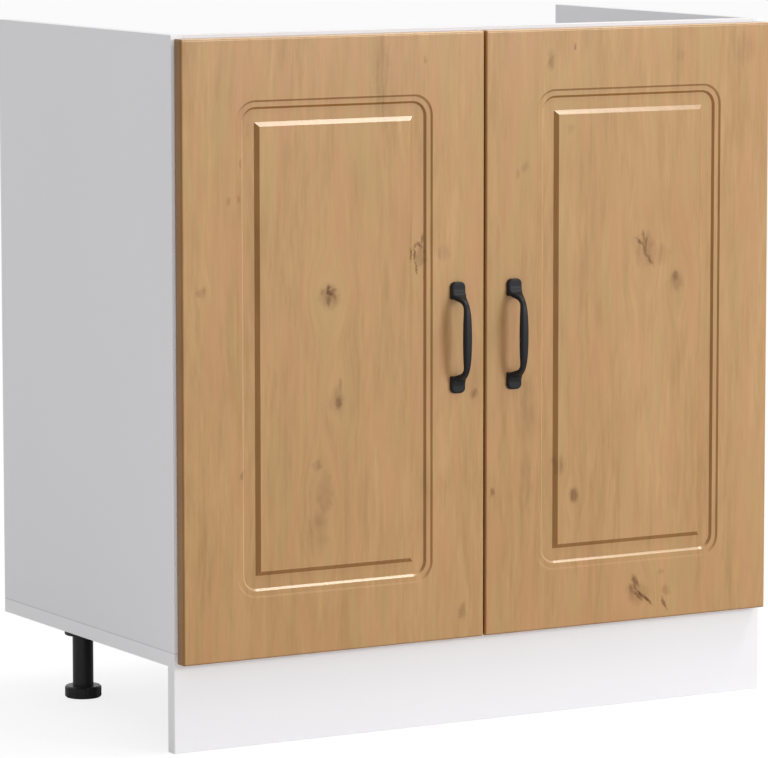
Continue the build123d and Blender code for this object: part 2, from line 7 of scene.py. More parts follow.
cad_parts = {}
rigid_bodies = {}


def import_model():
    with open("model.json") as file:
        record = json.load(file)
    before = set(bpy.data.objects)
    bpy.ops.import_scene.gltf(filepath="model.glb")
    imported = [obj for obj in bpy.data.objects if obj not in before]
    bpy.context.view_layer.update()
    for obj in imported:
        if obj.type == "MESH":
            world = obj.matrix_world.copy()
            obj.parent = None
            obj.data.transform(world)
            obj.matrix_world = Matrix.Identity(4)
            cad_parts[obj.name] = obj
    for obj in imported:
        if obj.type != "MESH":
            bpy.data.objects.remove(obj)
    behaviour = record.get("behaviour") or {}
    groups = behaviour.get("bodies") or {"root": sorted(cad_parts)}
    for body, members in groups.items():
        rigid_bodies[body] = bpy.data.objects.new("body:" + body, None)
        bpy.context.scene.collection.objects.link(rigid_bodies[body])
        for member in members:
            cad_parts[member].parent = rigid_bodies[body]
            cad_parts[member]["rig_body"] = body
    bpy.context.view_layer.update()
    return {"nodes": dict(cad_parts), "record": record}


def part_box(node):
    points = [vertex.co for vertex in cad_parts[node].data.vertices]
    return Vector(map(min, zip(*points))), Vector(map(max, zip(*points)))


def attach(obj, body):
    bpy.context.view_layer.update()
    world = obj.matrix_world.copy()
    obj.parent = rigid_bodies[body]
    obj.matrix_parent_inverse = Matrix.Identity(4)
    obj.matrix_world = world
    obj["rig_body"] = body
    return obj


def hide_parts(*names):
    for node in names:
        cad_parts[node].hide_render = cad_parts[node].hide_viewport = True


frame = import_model()

MM = 0.001
SLOTS = {entry["node"]: entry["material_slot"] for entry in frame["record"]["subparts"]}

# The frame's own sizes, in metres
DOOR_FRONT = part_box("door_left")[0].y
DOOR_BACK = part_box("door_left")[1].y
HALF_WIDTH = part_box("side_panel_right")[1].x

# Camera, fitted to the photograph's straight edges
CAMERA_PLACE = (-2.8709, -4.9325, 1.0821)
CAMERA_YAW = math.radians(30.11)
CAMERA_PITCH = math.radians(6.98)
CAMERA_ROLL = math.radians(-0.04)
FOCAL_PIXELS = 4783
FRAME_WIDTH = 768
SENSOR_WIDTH = 36.0
CLIP_END = 100


# Helpers for node trees ------------------------------------------------------------------

def srgb(red, green, blue):
    """Linear colour, with alpha, of an 8-bit display colour."""
    def linear(value):
        value /= 255
        return value / 12.92 if value <= 0.04045 else ((value + 0.055) / 1.055) ** 2.4
    return (linear(red), linear(green), linear(blue), 1.0)


def grey(level):
    """Grey of a linear level, with alpha."""
    return (level, level, level, 1.0)


class Graph:
    """The node tree of a material or world, with short calls that make and feed nodes."""

    def __init__(self, owner):
        owner.use_nodes = True
        self.nodes = owner.node_tree.nodes
        self.links = owner.node_tree.links

    def add(self, kind, inputs=None, **settings):
        made = self.nodes.new(kind)
        for name, value in settings.items():
            setattr(made, name, value)
        for name, value in (inputs or {}).items():
            self.feed(made.inputs[name], value)
        return made

    def feed(self, socket, value):
        if isinstance(value, bpy.types.NodeSocket):
            self.links.new(value, socket)
        else:
            socket.default_value = value


class Tree(Graph):
    """The tree of a new material on the Principled shader; its calls return outputs."""

    def __init__(self, name):
        self.material = bpy.data.materials.new(name)
        super().__init__(self.material)
        self.shader = self.nodes["Principled BSDF"]
        texture = self.add("ShaderNodeTexCoord")
        self.coordinates = texture.outputs["Object"]
        self.x, self.y, self.z = self.parts(self.coordinates)
        self.normal_x, self.normal_y, self.normal_z = self.parts(texture.outputs["Normal"])

    def parts(self, vector):
        """The X, Y and Z of a vector."""
        split = self.add("ShaderNodeSeparateXYZ", {"Vector": vector})
        return [split.outputs[axis] for axis in "XYZ"]

    def place(self, x, y, z=0.0):
        """The vector of an X, Y and Z."""
        return self.add("ShaderNodeCombineXYZ", {"X": x, "Y": y, "Z": z}).outputs[0]

    def math(self, operation, *values, clamp=False):
        inputs = dict(enumerate(values))
        return self.add("ShaderNodeMath", inputs, operation=operation, use_clamp=clamp).outputs[0]

    def vector(self, operation, *values):
        inputs = dict(enumerate(values))
        return self.add("ShaderNodeVectorMath", inputs, operation=operation).outputs[0]

    def total(self, *values):
        result = values[0]
        for value in values[1:]:
            result = self.math("ADD", result, value)
        return result

    def scaled(self, value, factor, offset=0.0):
        return self.math("MULTIPLY_ADD", value, factor, offset)

    def smooth(self, value, low, high, out_low=0.0, out_high=1.0):
        """Smooth step of a value between two limits, from one result to another."""
        made = self.add("ShaderNodeMapRange", {"Value": value, "From Min": low, "From Max": high,
                                               "To Min": out_low, "To Max": out_high},
                        interpolation_type="SMOOTHSTEP")
        return made.outputs["Result"]

    def noise(self, vector, scale=1.0, detail=2.0, roughness=0.5):
        made = self.add("ShaderNodeTexNoise", {"Vector": vector, "Scale": scale, "Detail": detail,
                                               "Roughness": roughness})
        return made.outputs["Fac"]

    def mix(self, factor, first, second, blend="MIX"):
        """Colour between two others. The node has inputs of the same name, so it goes by number."""
        made = self.add("ShaderNodeMix", data_type="RGBA", blend_type=blend)
        for number, value in {0: factor, 6: first, 7: second}.items():
            self.feed(made.inputs[number], value)
        return made.outputs[2]

    def bump(self, height, strength, distance):
        made = self.add("ShaderNodeBump", {"Height": height, "Strength": strength,
                                           "Distance": distance})
        return made.outputs["Normal"]

    def finish(self, **sockets):
        """Feeds the shader and returns the material."""
        names = {"color": "Base Color", "roughness": "Roughness", "metallic": "Metallic",
                 "normal": "Normal", "specular": "Specular IOR Level",
                 "specular_tint": "Specular Tint"}
        for key, value in sockets.items():
            self.feed(self.shader.inputs[names[key]], value)
        return self.material


# Oak-look film: its figure ---------------------------------------------------------------

# The printed figure is laid out on the closed doors' fronts, in millimetres: x from the
# cabinet's left side, z from the floor. It runs on over the doors' edges.

ROUTING = 5 * MM             # the door's front is nowhere routed deeper than this
EDGE_SLANT = 0.4             # on the edges the figure climbs by this part of the depth
SPLIT_SPREAD = 2.2           # a split has faded out at this many half widths
SPLIT_OVERRUN = 1.4          # and past its ends at this many times that spread
MARK_CORE = 0.30             # part of a mark's ellipse that has its full strength


class Split:
    """A dark crack or speck in the wood, from one point to another."""

    def __init__(self, start_x, start_z, end_x, end_z, half_width, dark):
        run_x, run_z = end_x - start_x, end_z - start_z
        self.x, self.z = (start_x + end_x) / 2, (start_z + end_z) / 2
        self.half_x = half_width * SPLIT_SPREAD
        self.half_z = math.hypot(run_x, run_z) / 2 + SPLIT_OVERRUN * self.half_x
        self.lean = -math.atan2(run_x, run_z)
        self.strength = dark


class Patch:
    """A brown shade in the wood; the grain bends round it by its swirl."""

    def __init__(self, x, z, half_x, half_z, brown, swirl=0.0):
        self.x, self.z = x, z
        self.half_x, self.half_z = half_x, half_z
        self.lean = 0.0
        self.strength = brown
        self.swirl = swirl


LEFT_SPLITS = (
    Split(191, 525, 191, 519, 1.5, 0.85), Split(191, 519, 194.5, 516, 1.7, 0.95),
    Split(191, 515, 191.5, 503, 1.6, 0.60), Split(196, 519, 200, 521, 1.5, 0.45),
    Split(196, 515, 200, 513, 1.4, 0.35), Split(182, 518, 184, 521, 1.4, 0.30),
    Split(300.5, 563, 300.5, 549, 1.3, 0.90), Split(306.5, 563, 307.5, 549, 1.1, 0.75),
    Split(307.5, 549, 311, 533, 1.1, 0.60), Split(311, 568, 316, 565, 1.5, 0.70),
    Split(307, 564, 311, 568, 1.0, 0.55), Split(316.5, 567, 317.5, 578, 1.1, 0.60),
    Split(204.5, 392, 204.5, 389.5, 2.8, 0.55),
    Split(207, 418, 206.5, 406, 1.6, 0.30), Split(63, 631, 63, 624, 1.5, 0.30),
    Split(76, 632, 76, 626, 1.5, 0.30), Split(79, 672, 79, 665, 1.3, 0.28),
    Split(319, 782, 319, 776, 1.3, 0.30), Split(81, 321, 81, 311, 1.4, 0.42),
    Split(77, 312, 80, 318, 1.2, 0.30), Split(388, 395, 384, 388, 1.5, 0.35),
)
LEFT_PATCHES = (
    Patch(193, 515, 18, 18, 0.50, 0.7), Patch(314, 553, 8, 17, 0.62, 0.6),
    Patch(343, 556, 12, 14, 0.20), Patch(202, 394, 14, 24, 0.26, 0.6),
    Patch(176, 320, 8, 10, 0.36), Patch(186, 284, 13, 34, 0.36, 0.6),
    Patch(178, 244, 20, 34, 0.30, 0.5), Patch(28, 526, 9, 9, 0.40, 0.5),
    Patch(262, 762, 13, 76, 0.30), Patch(370, 134, 9, 13, 0.32, 0.4),
    Patch(386, 391, 7, 9, 0.30, 0.4),
    Patch(342, 280, 10, 30, 0.16), Patch(84, 712, 9, 26, 0.16),
)
RIGHT_SPLITS = (
    Split(618, 553, 623, 541, 1.6, 0.62), Split(622, 543, 633, 527, 1.4, 0.75),
    Split(609, 560, 619, 552, 1.4, 0.70), Split(618.5, 569, 619, 555, 1.2, 0.50),
    Split(623.5, 562, 621, 550, 1.3, 0.62), Split(664.5, 516, 664.5, 512, 2.3, 0.50),
    Split(608, 154, 612, 148, 2.6, 0.65), Split(608.5, 146, 608.5, 143, 1.8, 0.55),
    Split(608.5, 142, 636, 120, 1.3, 0.95), Split(605.5, 139.5, 621, 126, 1.3, 0.70),
    Split(603, 145, 604, 139, 1.4, 0.55), Split(647.5, 127.5, 654.5, 113, 1.6, 0.68),
    Split(522.5, 264, 522.5, 258, 3.4, 0.50), Split(410, 274, 410, 270.5, 2.0, 0.50),
    Split(489.5, 775, 489.5, 767, 2.6, 0.36), Split(522, 792, 522, 786, 1.1, 0.62),
    Split(455, 653, 453, 648, 2.3, 0.25), Split(444, 646, 444, 640, 1.7, 0.22),
)
RIGHT_PATCHES = (
    Patch(621, 546, 17, 32, 0.42, 0.7), Patch(644, 540, 16, 18, 0.24),
    Patch(665, 506, 15, 17, 0.36, 0.6), Patch(612, 136, 19, 17, 0.42, 0.7),
    Patch(653, 136, 9, 10, 0.30, 0.4), Patch(647, 160, 7, 4, 0.24),
    Patch(522, 262, 9, 12, 0.28, 0.5), Patch(503, 297, 11, 15, 0.36),
    Patch(458, 279, 9, 48, 0.22), Patch(489, 776, 7, 16, 0.30, 0.4),
    Patch(762, 780, 20, 28, 0.20), Patch(518, 694, 9, 8, 0.22),
    Patch(670, 777, 8, 10, 0.20), Patch(458, 378, 14, 42, 0.20, 0.5),
)

# The noises that make the marks' outlines ragged, one after the other: scale and reach
PATCH_WARPS = ((70, 14 * MM), (260, 4 * MM))
SPLIT_WARPS = ((130, 6 * MM), (480, 3.5 * MM))


def film_plane(tree):
    """Where each point of a door lies on the film."""
    depth = tree.math("MAXIMUM", tree.scaled(tree.y, 1.0, -DOOR_FRONT - ROUTING), 0.0)
    across = tree.math("ADD", tree.x, depth)
    up = tree.math("MULTIPLY_ADD", depth, EDGE_SLANT, tree.z)
    return tree.place(across, up)


def warped(tree, plane, warps):
    """Places on the film, moved about by noises, so that drawn shapes turn ragged."""
    for scale, reach in warps:
        noise = tree.add("ShaderNodeTexNoise", {"Vector": plane, "Scale": scale, "Detail": 2.0})
        shift = tree.vector("SUBTRACT", noise.outputs["Color"], (0.5, 0.5, 0.5))
        plane = tree.vector("MULTIPLY_ADD", shift, (reach, reach, 0.0), plane)
    return plane


def inside(tree, plane, mark, grow_x=1.0, grow_z=1.0):
    """1 at the middle of a mark's ellipse and 0 outside it; also the place in the ellipse."""
    local = tree.add("ShaderNodeMapping", {
        "Vector": plane, "Location": (mark.x * MM - HALF_WIDTH, mark.z * MM, 0.0),
        "Rotation": (0.0, 0.0, mark.lean),
        "Scale": (mark.half_x * grow_x * MM, mark.half_z * grow_z * MM, 1.0)},
        vector_type="TEXTURE").outputs[0]
    away = tree.add("ShaderNodeVectorMath", {0: local}, operation="LENGTH").outputs["Value"]
    return tree.smooth(away, 1.0, MARK_CORE), local


def marked(tree, plane, marks):
    """The strongest of several marks at each place."""
    result = 0.0
    for mark in marks:
        here = tree.math("MULTIPLY", inside(tree, plane, mark)[0], mark.strength)
        result = tree.math("MAXIMUM", here, result)
    return result


# Oak-look film: its grain ----------------------------------------------------------------

class Layer:
    """Noise drawn out along the grain, in lines per metre across it and over its length.

    Its number keeps it apart from the other layers."""

    def __init__(self, number, across, along, detail=2.0):
        self.number, self.detail = number, detail
        self.across, self.along = across, along


LAYERS = {
    "wide": Layer(1, 15, 1.3),
    "bands": Layer(2, 75, 8),
    "streaks": Layer(3, 210, 18),
    "fibres": Layer(4, 700, 42, detail=3.0),
    "pores": Layer(5, 1500, 110),
    "reddish": Layer(6, 36, 6),
    "olive": Layer(7, 30, 5),
}
LAYER_ROUGHNESS = 0.55
PORE_LIMITS = (0.60, 0.74)   # noise from which a pore begins, and at which it is full
SWIRL_REACH = (2.4, 3.6)     # grain bends this many half widths and heights from a patch
WOBBLE_LINES = (7, 2.6)      # waves of the grain per metre, across it and over its length
WOBBLE = 16 * MM


def grain_line(tree, plane, patches, offset):
    """Which line of the grain runs through each place: wavy, and bent round the knots."""
    across, up, _ = tree.parts(plane)
    flow = across
    for patch in patches:
        if patch.swirl:
            near, local = inside(tree, plane, patch, *SWIRL_REACH)
            pull = -patch.swirl * patch.half_x * SWIRL_REACH[0] * MM
            bend = tree.math("MULTIPLY", near, tree.parts(local)[0])
            flow = tree.math("MULTIPLY_ADD", bend, pull, flow)
    waves = tree.place(tree.scaled(across, WOBBLE_LINES[0]), tree.scaled(up, WOBBLE_LINES[1]),
                       offset)
    return tree.math("MULTIPLY_ADD", tree.noise(waves), WOBBLE, flow)


def grain_noises(tree, plane, patches, offset):
    """The noise of every layer, by name; the pores are cut out sharply."""
    flow = grain_line(tree, plane, patches, offset)
    up = tree.parts(plane)[1]
    noises = {}
    for name, layer in LAYERS.items():
        drawn = tree.place(tree.scaled(flow, layer.across), tree.scaled(up, layer.along),
                           offset + layer.number)
        noises[name] = tree.noise(drawn, detail=layer.detail, roughness=LAYER_ROUGHNESS)
    noises["pores"] = tree.smooth(noises["pores"], *PORE_LIMITS)
    return noises


# Oak-look film: its colours --------------------------------------------------------------

OAK_LIGHT = srgb(192, 151, 103)
OAK_DARK = srgb(160, 121, 76)
OAK_REDDISH = srgb(190, 140, 98)
OAK_OLIVE = srgb(180, 149, 98)
OAK_PATCH = srgb(116, 78, 42)
OAK_SPLIT = srgb(104, 62, 30)
# Painted shade: the film's colour on flanks turned left or down is multiplied by this
OAK_PAINTED_SHADE = (0.60, 0.49, 0.31, 1.0)     # film on a shaded flank, times its own colour
# Painted highlight on the steep part of roundings turned right or up
OAK_PAINTED_HIGHLIGHT = srgb(250, 218, 176)
OAK_GLOSS = srgb(255, 248, 232)
BOARD_WHITE = srgb(240, 239, 241)
FILM_WRAP = 0.6 * MM         # how far the film is turned round the door's back edges
FILM_CUT = 0.05 * MM         # how softly it ends there

TONE_MIDDLE = 0.38           # mean tone of the wood, from light oak at 0 to dark oak at 1
TONE_SWINGS = {"wide": 0.9, "bands": 1.0, "streaks": 0.8, "fibres": 0.5}
PORE_TONE = 0.18
# Two limits of a noise, and the tint's strength at each
TINTS = {
    "reddish": (OAK_REDDISH, (0.44, 0.64, 0.0, 0.50)),
    "olive": (OAK_OLIVE, (0.50, 0.68, 0.0, 0.44)),
}
# Two limits of a noise, and the factor on a mark's strength at each
STREAKED_PATCH = (0.35, 0.65, 0.55, 1.25)
FIBROUS_SPLIT = (0.30, 0.62, 0.70, 1.15)

# A face is known by its cosine to the door's front, and by the sum of its normal's X and Z,
# which is high where it is turned right or up. Each pair is where an effect begins and is full.
# The FLANK pairs place the painted shade, the ROUND pairs the painted highlight.
FLANK_TURN = (0.97, 0.80)
FLANK_SHADED = (0.30, -0.15)
ROUND_TURN = (0.78, 0.66)
ROUND_NOT_EDGE = (0.05, 0.30)
ROUND_LIT = (0.30, 0.60)
# Strength of the painted highlight on those roundings
PAINTED_HIGHLIGHT_STRENGTH = 0.55


def facing_front(tree):
    """Cosine between a face and the door's front."""
    return tree.math("MULTIPLY", tree.normal_y, -1.0)


def facing_right_or_up(tree):
    return tree.math("ADD", tree.normal_x, tree.normal_z)


def painted_shade_flank(tree):
    """1 where painted shade darkens the film on a flank turned left or down, 0 on the flat."""
    turned = tree.smooth(facing_front(tree), *FLANK_TURN)
    return tree.math("MULTIPLY", turned, tree.smooth(facing_right_or_up(tree), *FLANK_SHADED))


def painted_highlight_round(tree):
    """1 on the steep part of a rounding that is turned right or up, where a painted highlight pales
    the film.
    """
    front = facing_front(tree)
    steep = tree.math("MULTIPLY", tree.smooth(front, *ROUND_TURN),
                      tree.smooth(front, *ROUND_NOT_EDGE))
    return tree.math("MULTIPLY", steep, tree.smooth(facing_right_or_up(tree), *ROUND_LIT))


def plain_oak(tree, noises):
    """The wood away from the knots: light to dark with the grain, in parts reddish or olive."""
    swings = [tree.scaled(noises[name], swing, -swing / 2)
              for name, swing in TONE_SWINGS.items()]
    tone = tree.total(TONE_MIDDLE, *swings, tree.scaled(noises["pores"], PORE_TONE))
    wood = tree.mix(tree.math("MAXIMUM", tone, 0.0, clamp=True), OAK_LIGHT, OAK_DARK)
    for name, (color, limits) in TINTS.items():
        wood = tree.mix(tree.smooth(noises[name], *limits), wood, color)
    return wood


def knotted_oak(tree, wood, plane, noises, splits, patches):
    """The wood with its brown patches, and over them its dark splits."""
    brown = tree.math("MULTIPLY", marked(tree, warped(tree, plane, PATCH_WARPS), patches),
                      tree.smooth(noises["streaks"], *STREAKED_PATCH), clamp=True)
    dark = tree.math("MULTIPLY", marked(tree, warped(tree, plane, SPLIT_WARPS), splits),
                     tree.smooth(noises["fibres"], *FIBROUS_SPLIT), clamp=True)
    return tree.mix(dark, tree.mix(brown, wood, OAK_PATCH), OAK_SPLIT)


def film_with_painted_light(tree, wood):
    """The film's colour on the routed profile, with painted shade on flanks turned left or down and
    a painted highlight on roundings turned right or up.
    """
    # Painted shade: the film is darkened on flanks turned left or down
    shaded = tree.mix(1.0, wood, OAK_PAINTED_SHADE, blend="MULTIPLY")
    wood = tree.mix(painted_shade_flank(tree), wood, shaded)
    # Painted highlight: the film is paled on roundings turned right or up
    pale = tree.scaled(painted_highlight_round(tree), PAINTED_HIGHLIGHT_STRENGTH)
    return tree.mix(pale, wood, OAK_PAINTED_HIGHLIGHT)


def oak_film(name, splits, patches, offset):
    """Printed film on a door's front and edges; the door's back is white."""
    tree = Tree(name)
    plane = film_plane(tree)
    noises = grain_noises(tree, plane, patches, offset)
    wood = plain_oak(tree, noises)
    wood = knotted_oak(tree, wood, plane, noises, splits, patches)
    wood = film_with_painted_light(tree, wood)
    back = tree.smooth(tree.y, DOOR_BACK - FILM_WRAP, DOOR_BACK - FILM_WRAP + FILM_CUT)
    height = tree.total(tree.scaled(noises["fibres"], 0.5), tree.scaled(noises["pores"], -0.6))
    return tree.finish(color=tree.mix(back, wood, BOARD_WHITE),
                       roughness=tree.scaled(noises["fibres"], 0.05, 0.20),
                       specular=0.5, specular_tint=OAK_GLOSS,
                       normal=tree.bump(height, strength=0.10, distance=0.1 * MM))


# White boards ----------------------------------------------------------------------------

BOARD_FACE = srgb(241, 240, 242)
BOARD_CLOUD = srgb(236, 235, 238)
BOARD_BAND = srgb(247, 246, 248)
BAND_LINE = srgb(196, 194, 196)
# Colour of the painted contact shade at a standing board's foot
CONTACT_SHADE_COLOR = srgb(150, 149, 153)
CLOUD_STRENGTH = 0.5
EDGE_BAND = 0.9 * MM         # the banding's thickness, seen on the faces along the edges
BAND_BLUR = 0.15 * MM
GLUE_LINE = 0.18 * MM        # half width of the line between a face and its banding
GLUE_STRENGTH = 0.5
STANDING_BOARDS = ("side_panel_left", "side_panel_right")
# Painted shade where a standing board meets the board it stands on
CONTACT_SHADE_HEIGHT = 1.6 * MM       # a standing board's lower edge is dark up to this height
CONTACT_SHADE_STRENGTH = 0.6


def edge_distance(tree, low, high):
    """How far each place on a board's faces is from the board's nearest edge."""
    size = high - low
    thin = min(range(3), key=lambda axis: size[axis])
    gaps = []
    for axis, value in enumerate((tree.x, tree.y, tree.z)):
        if axis != thin:
            middle = (low[axis] + high[axis]) / 2
            off_middle = tree.math("ABSOLUTE", tree.math("SUBTRACT", value, middle))
            gaps.append(tree.math("SUBTRACT", size[axis] / 2, off_middle))
    return tree.math("MINIMUM", *gaps)


def white_board(node):
    """Melamine with a thin banding on its edges, whose glue line shows on the faces."""
    tree = Tree(f"white_board_{node}")
    low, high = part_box(node)
    to_edge = edge_distance(tree, low, high)
    cloud = tree.noise(tree.coordinates, scale=7.0, detail=3.0)
    color = tree.mix(tree.scaled(cloud, CLOUD_STRENGTH), BOARD_FACE, BOARD_CLOUD)
    band = tree.smooth(to_edge, EDGE_BAND, EDGE_BAND + BAND_BLUR, 1.0, 0.0)
    color = tree.mix(band, color, BOARD_BAND)
    off_line = tree.math("ABSOLUTE", tree.math("SUBTRACT", to_edge, EDGE_BAND))
    color = tree.mix(tree.smooth(off_line, 0.0, GLUE_LINE, GLUE_STRENGTH, 0.0), color, BAND_LINE)
    # Painted contact shade along a standing board's lower edge
    if node in STANDING_BOARDS:
        height = tree.scaled(tree.z, 1.0, -low.z)
        color = tree.mix(tree.smooth(height, 0.0, CONTACT_SHADE_HEIGHT, CONTACT_SHADE_STRENGTH, 0.0),
                         color, CONTACT_SHADE_COLOR)
    pearl = tree.noise(tree.coordinates, scale=900.0, detail=2.0)
    return tree.finish(color=color, roughness=tree.scaled(pearl, 0.10, 0.40),
                       normal=tree.bump(pearl, strength=0.04, distance=0.05 * MM))


# Metals, plastics and rubber -------------------------------------------------------------

# Lighter and darker tone, roughness, and lines of the brushing per metre
PLATINGS = {
    "hinge_steel": (srgb(206, 203, 198), srgb(186, 183, 178), 0.22, 1500),
    "pin_steel": (srgb(178, 177, 176), srgb(160, 159, 158), 0.25, 1500),
    "screw_steel": (srgb(196, 195, 192), srgb(172, 171, 168), 0.28, 2500),
    "zinc": (srgb(190, 190, 192), srgb(168, 168, 171), 0.36, 900),
}
BRUSH_STRETCH = 12           # the brushing is this many times longer than it is wide
CASTING_TONES = (srgb(17, 17, 20), srgb(23, 23, 27))
PLASTIC_TONES = (srgb(19, 18, 22), srgb(26, 25, 29))
BEECH_TONES = (srgb(222, 188, 146), srgb(190, 150, 106))
RUBBER_TONES = (srgb(226, 226, 222), srgb(210, 210, 205))


def black_casting():
    tree = Tree("black_casting")
    grain = tree.noise(tree.coordinates, scale=1800.0, detail=3.0, roughness=0.6)
    cloud = tree.noise(tree.coordinates, scale=60.0)
    return tree.finish(color=tree.mix(cloud, *CASTING_TONES), specular=0.25,
                       roughness=tree.scaled(grain, 0.16, 0.40),
                       normal=tree.bump(grain, strength=0.18, distance=0.08 * MM))


def black_plastic():
    tree = Tree("black_plastic")
    grain = tree.noise(tree.coordinates, scale=1400.0)
    cloud = tree.noise(tree.coordinates, scale=40.0)
    return tree.finish(color=tree.mix(cloud, *PLASTIC_TONES), specular=0.40,
                       roughness=tree.scaled(grain, 0.12, 0.32),
                       normal=tree.bump(grain, strength=0.12, distance=0.06 * MM))


def plated_metal(name, light, dark, roughness, lines):
    """Plated steel or zinc: fine brushing along Z and a cloudy tone."""
    tree = Tree(name)
    drawn = tree.place(tree.scaled(tree.x, lines), tree.scaled(tree.y, lines),
                       tree.scaled(tree.z, lines / BRUSH_STRETCH))
    brushed = tree.noise(drawn, detail=3.0)
    cloud = tree.noise(tree.coordinates, scale=90.0, detail=3.0)
    return tree.finish(color=tree.mix(cloud, light, dark), metallic=1.0,
                       roughness=tree.scaled(brushed, 0.20, roughness),
                       normal=tree.bump(brushed, strength=0.08, distance=0.03 * MM))


def beech():
    tree = Tree("beech")
    lines = tree.noise(tree.coordinates, scale=700.0, detail=3.0)
    return tree.finish(color=tree.mix(lines, *BEECH_TONES), roughness=0.6,
                       normal=tree.bump(lines, strength=0.15, distance=0.1 * MM))


def clear_rubber():
    tree = Tree("clear_rubber")
    cloud = tree.noise(tree.coordinates, scale=500.0)
    return tree.finish(color=tree.mix(cloud, *RUBBER_TONES),
                       roughness=tree.scaled(cloud, 0.1, 0.3),
                       normal=tree.bump(cloud, strength=0.05, distance=0.05 * MM))


# Materials on the CAD nodes --------------------------------------------------------------

def slot_materials():
    """The materials that stand for a whole slot."""
    plated = {slot: plated_metal(slot, *plating) for slot, plating in PLATINGS.items()}
    return {"black_casting": black_casting(), "black_plastic": black_plastic(),
            "beech": beech(), "clear_rubber": clear_rubber(), **plated}


def assign(node, material):
    data = frame["nodes"][node].data
    data.materials.clear()
    data.materials.append(material)
    for polygon in data.polygons:
        polygon.material_index = 0


def dress_frame():
    """Gives each CAD node the material of its slot; boards and doors have their own."""
    shared = slot_materials()
    films = {
        "door_left": oak_film("oak_film_left", LEFT_SPLITS, LEFT_PATCHES, offset=0.0),
        "door_right": oak_film("oak_film_right", RIGHT_SPLITS, RIGHT_PATCHES, offset=20.0),
    }
    for node, slot in SLOTS.items():
        if slot == "white_board":
            assign(node, white_board(node))
        elif slot == "oak_film":
            assign(node, films[node])
        else:
            assign(node, shared[slot])


# Crosses in the screws' and cams' heads --------------------------------------------------

WELD = 0.001 * MM
SHARP = math.radians(35)
ARMS = 4


class Cross:
    """A driver's cross: its reach, half width and depth, times the head's radius.

    Its bottom is as large as its mouth times its taper."""

    def __init__(self, reach, half_width, depth, taper):
        self.reach, self.half_width = reach, half_width
        self.depth, self.taper = depth, taper


SCREW_CROSS = Cross(reach=0.54, half_width=0.14, depth=0.55, taper=0.55)
CAM_CROSS = Cross(reach=0.62, half_width=0.13, depth=0.40, taper=0.85)
FASTENERS = {
    "cup_screws_left": SCREW_CROSS, "cup_screws_right": SCREW_CROSS,
    "handle_screws_left": SCREW_CROSS, "handle_screws_right": SCREW_CROSS,
    "hinge_arm_screws": SCREW_CROSS, "hinge_plate_screws": SCREW_CROSS,
    "leg_screws": SCREW_CROSS, "plinth_clip_screws": SCREW_CROSS,
    "cam_housings": CAM_CROSS,
}


def islands(mesh):
    """The separate solids of a mesh, each as a list of its vertices."""
    seen = set()
    found = []
    for start in mesh.verts:
        if start in seen:
            continue
        seen.add(start)
        front, island = [start], []
        while front:
            vertex = front.pop()
            island.append(vertex)
            near = [edge.other_vert(vertex) for edge in vertex.link_edges]
            fresh = [other for other in near if other not in seen]
            seen.update(fresh)
            front.extend(fresh)
        found.append(island)
    return found


class Head:
    """The end of a fastener that the driver meets: the wider one, or else the inner one."""

    def __init__(self, island):
        low, high = (Vector([pick(vertex.co[axis] for vertex in island) for axis in range(3)])
                     for pick in (min, max))
        size = high - low
        self.axis = max(range(3), key=lambda axis: abs(size[axis] - size[axis - 1])
                        + abs(size[axis] - size[axis - 2]))
        ends = []
        for level in (low[self.axis], high[self.axis]):
            middle = (low + high) / 2
            middle[self.axis] = level
            rim = [vertex for vertex in island if abs(vertex.co[self.axis] - level) < WELD]
            radius = max((vertex.co - middle).length for vertex in rim)
            ends.append((round(radius / WELD), -abs(level), radius, middle, rim))
        _, _, self.radius, self.middle, self.rim = max(ends, key=lambda end: end[:2])
        self.inward = Vector((0.0, 0.0, 0.0))
        self.inward[self.axis] = 1.0 if self.middle[self.axis] == low[self.axis] else -1.0


def cross_outline(head, cross, scale, depth):
    """The corners of a cross on a head, three to an arm, at some depth in it."""
    reach = cross.reach * head.radius * scale
    half = cross.half_width * head.radius * scale
    first, second = (axis for axis in range(3) if axis != head.axis)
    corners = []
    for turn in range(ARMS):
        for x, y in ((reach, -half), (reach, half), (half, half)):
            for _ in range(turn):
                x, y = -y, x
            corner = head.middle + head.inward * depth
            corner[first] += x
            corner[second] += y
            corners.append(corner)
    return corners


def cut_cross(mesh, head, cross):
    """Opens a fastener's flat end and fills it again round a sunk cross."""
    on_end = set(head.rim)
    cap = [face for face in mesh.faces if on_end.issuperset(face.verts)]
    bmesh.ops.delete(mesh, geom=cap, context="FACES")
    rim = [edge for edge in mesh.edges if edge.is_boundary and on_end.issuperset(edge.verts)]
    mouth = cross_outline(head, cross, 1.0, 0.0)
    bottom = cross_outline(head, cross, cross.taper, cross.depth * head.radius)
    upper = [mesh.verts.new(corner) for corner in mouth]
    lower = [mesh.verts.new(corner) for corner in bottom]
    sides = range(len(upper))
    outline = [mesh.edges.new((upper[side - 1], upper[side])) for side in sides]
    bmesh.ops.triangle_fill(mesh, use_beauty=True, edges=rim + outline)
    for side in sides:
        mesh.faces.new((upper[side - 1], upper[side], lower[side], lower[side - 1]))
    mesh.faces.new(lower)


